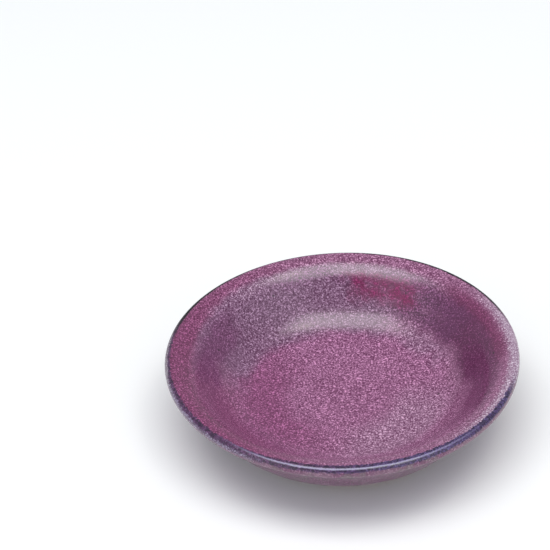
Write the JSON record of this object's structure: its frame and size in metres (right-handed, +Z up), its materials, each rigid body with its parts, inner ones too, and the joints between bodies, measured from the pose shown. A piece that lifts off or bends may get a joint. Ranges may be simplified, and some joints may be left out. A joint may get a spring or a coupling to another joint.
{
  "type": "small round dish",
  "caption": "Shallow round glazed stoneware dish with a flared lip, a rounded well and a low foot ring, for holding small amounts of paste or sauce.",
  "frame": {"origin": "middle of the foot ring's resting face, at the object's base", "axes": "+Z up along the dish's axis of turning; X and Y are level"},
  "size_m": [0.092, 0.092, 0.0215],
  "materials": {
    "stoneware": "fired, matt",
    "foot_clay": "bare fired clay, matt, slightly gritty",
    "magenta_glaze": "satin gloss, finely mottled reactive glaze",
    "indigo_glaze": "satin gloss, broken and speckled at its edges",
    "mauve_glaze": "satin, mottled"
  },
  "bodies": {
    "root": {"clay_body": "stoneware", "foot_ring": "foot_clay", "inner_glaze": "magenta_glaze", "rim_glaze": "indigo_glaze", "outer_glaze": "mauve_glaze", "base_glaze": "mauve_glaze"}
  },
  "joints": []
}
